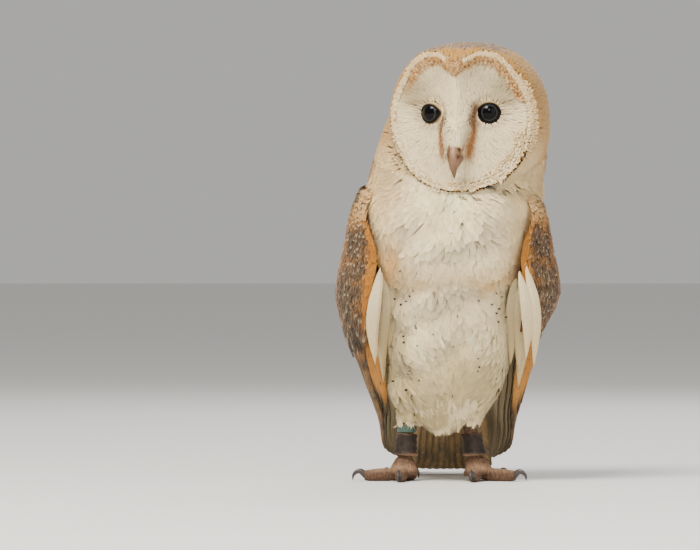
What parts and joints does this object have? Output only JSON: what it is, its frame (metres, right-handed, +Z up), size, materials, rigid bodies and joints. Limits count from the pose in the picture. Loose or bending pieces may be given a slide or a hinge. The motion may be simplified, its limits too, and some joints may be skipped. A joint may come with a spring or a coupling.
{
  "type": "barn owl",
  "caption": "Life-size still model of a barn owl standing upright with folded wings, its head turned a little to its right, with leather anklets and a plain leg ring.",
  "frame": {"origin": "on the floor under the middle of the whole bird", "axes": "+Z up, the breast faces -Y, +X to the bird's left"},
  "size_m": [0.1546, 0.211, 0.2998],
  "materials": {
    "body_plumage": "soft matte plumage, cream white with a warm buff wash and small dark spots",
    "crown_plumage": "soft matte plumage, golden buff with grey vermiculation and fine specks",
    "face_plumage": "very fine matte plumage, warm white, rusty beside the bill",
    "covert_plumage": "matte plumage, golden orange under grey vermiculation with black and white specks",
    "flight_feathers": "satin flight feathers, golden orange above with dark bars, whitish below",
    "eye": "polished near-black eye",
    "bill_horn": "semi-gloss pinkish horn",
    "foot_skin": "matte scaly skin, pinkish brown",
    "claw_horn": "semi-gloss dark grey horn",
    "anklet_leather": "worn dark brown leather with a tan cut edge",
    "leg_ring": "satin teal, blank"
  },
  "bodies": {
    "root": {"trunk": "body_plumage", "neck": "body_plumage", "head": "crown_plumage", "facial_disc": "face_plumage", "eye_left": "eye", "wing_left_primaries": "flight_feathers", "wing_left_secondaries": "flight_feathers", "wing_left_coverts": "covert_plumage", "wing_left_scapulars": "covert_plumage", "wing_left_arm": "body_plumage", "wing_left_alula": "body_plumage", "thigh_left": "body_plumage", "tarsus_left": "foot_skin", "foot_left": "foot_skin", "anklet_left": "anklet_leather", "claw_left_1": "claw_horn", "claw_left_2": "claw_horn", "claw_left_3": "claw_horn", "claw_left_4": "claw_horn", "eye_right": "eye", "wing_right_primaries": "flight_feathers", "wing_right_secondaries": "flight_feathers", "wing_right_coverts": "covert_plumage", "wing_right_scapulars": "covert_plumage", "wing_right_arm": "body_plumage", "wing_right_alula": "body_plumage", "thigh_right": "body_plumage", "tarsus_right": "foot_skin", "foot_right": "foot_skin", "anklet_right": "anklet_leather", "claw_right_1": "claw_horn", "claw_right_2": "claw_horn", "claw_right_3": "claw_horn", "claw_right_4": "claw_horn", "tail": "flight_feathers", "bill_upper": "bill_horn", "bill_lower": "bill_horn", "leg_ring": "leg_ring"}
  },
  "joints": []
}
